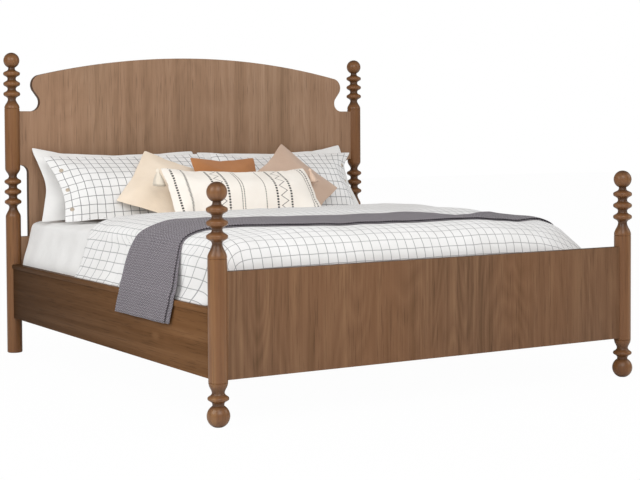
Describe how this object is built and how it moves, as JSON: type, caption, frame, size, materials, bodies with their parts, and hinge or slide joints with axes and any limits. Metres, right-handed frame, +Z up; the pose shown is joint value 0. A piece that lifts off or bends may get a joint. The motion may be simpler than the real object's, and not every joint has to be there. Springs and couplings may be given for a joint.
{
  "type": "panel bed",
  "caption": "King panel bed with a scooped arched headboard, low footboard and turned corner posts with ball finials, made up with bedding and cushions.",
  "frame": {"origin": "on the floor under the middle of the bed's overall box", "axes": "+X to the right seen from the foot of the bed, +Y along the bed towards the headboard, +Z up"},
  "size_m": [2.0512, 2.2126, 1.4515],
  "materials": {
    "walnut_panel": "oiled walnut board, satin",
    "walnut_post": "oiled turned walnut, satin",
    "walnut_rail": "oiled walnut, darker, satin",
    "slat_wood": "planed pale softwood, unfinished",
    "steel": "zinc-plated steel",
    "white_cotton": "white cotton cover",
    "check_cotton": "white cotton with thin dark windowpane lines",
    "grey_weave": "grey-purple herringbone weave",
    "beige_cotton": "beige cotton",
    "rust_cotton": "rust-brown cotton",
    "mauve_cotton": "dusty mauve cotton",
    "cream_cotton": "cream cotton with stitched stripes and corner tassels"
  },
  "bodies": {
    "frame": {"head_post_left": "walnut_post", "head_finial_left": "walnut_post", "foot_post_left": "walnut_post", "foot_finial_left": "walnut_post", "foot_turning_left": "walnut_post", "head_post_right": "walnut_post", "head_finial_right": "walnut_post", "foot_post_right": "walnut_post", "foot_finial_right": "walnut_post", "foot_turning_right": "walnut_post", "headboard_panel": "walnut_panel", "footboard_panel": "walnut_panel", "side_rail_left": "walnut_rail", "rail_cap_left": "walnut_rail", "slat_cleat_left": "slat_wood", "side_rail_right": "walnut_rail", "rail_cap_right": "walnut_rail", "slat_cleat_right": "slat_wood", "slat_01": "slat_wood", "slat_02": "slat_wood", "slat_03": "slat_wood", "slat_04": "slat_wood", "slat_05": "slat_wood", "slat_06": "slat_wood", "slat_07": "slat_wood", "slat_08": "slat_wood", "slat_09": "slat_wood", "slat_10": "slat_wood", "slat_11": "slat_wood", "slat_12": "slat_wood", "centre_leg_1": "slat_wood", "centre_leg_2": "slat_wood", "centre_beam": "slat_wood", "beam_hanger_foot": "steel", "beam_hanger_head": "steel", "corner_bracket_head_left": "steel", "rail_bolt_head_left": "steel", "panel_bolt_head_left": "steel", "corner_bracket_head_right": "steel", "rail_bolt_head_right": "steel", "panel_bolt_head_right": "steel", "corner_bracket_foot_left": "steel", "rail_bolt_foot_left": "steel", "panel_bolt_foot_left": "steel", "corner_bracket_foot_right": "steel", "rail_bolt_foot_right": "steel", "panel_bolt_foot_right": "steel"},
    "bedding": {"mattress": "white_cotton", "duvet": "check_cotton", "throw": "grey_weave", "pillow_left": "white_cotton", "pillow_right": "white_cotton", "sham_left": "check_cotton", "sham_right": "check_cotton", "beige_cushion": "beige_cotton", "mauve_cushion": "mauve_cotton", "rust_cushion": "rust_cotton", "lumbar_cushion": "cream_cotton"}
  },
  "joints": [
    {"name": "mattress_lift", "type": "slide", "parent": "frame", "child": "bedding", "axis": [0, 0, 1], "range_m": [0, 0.6]}
  ]
}
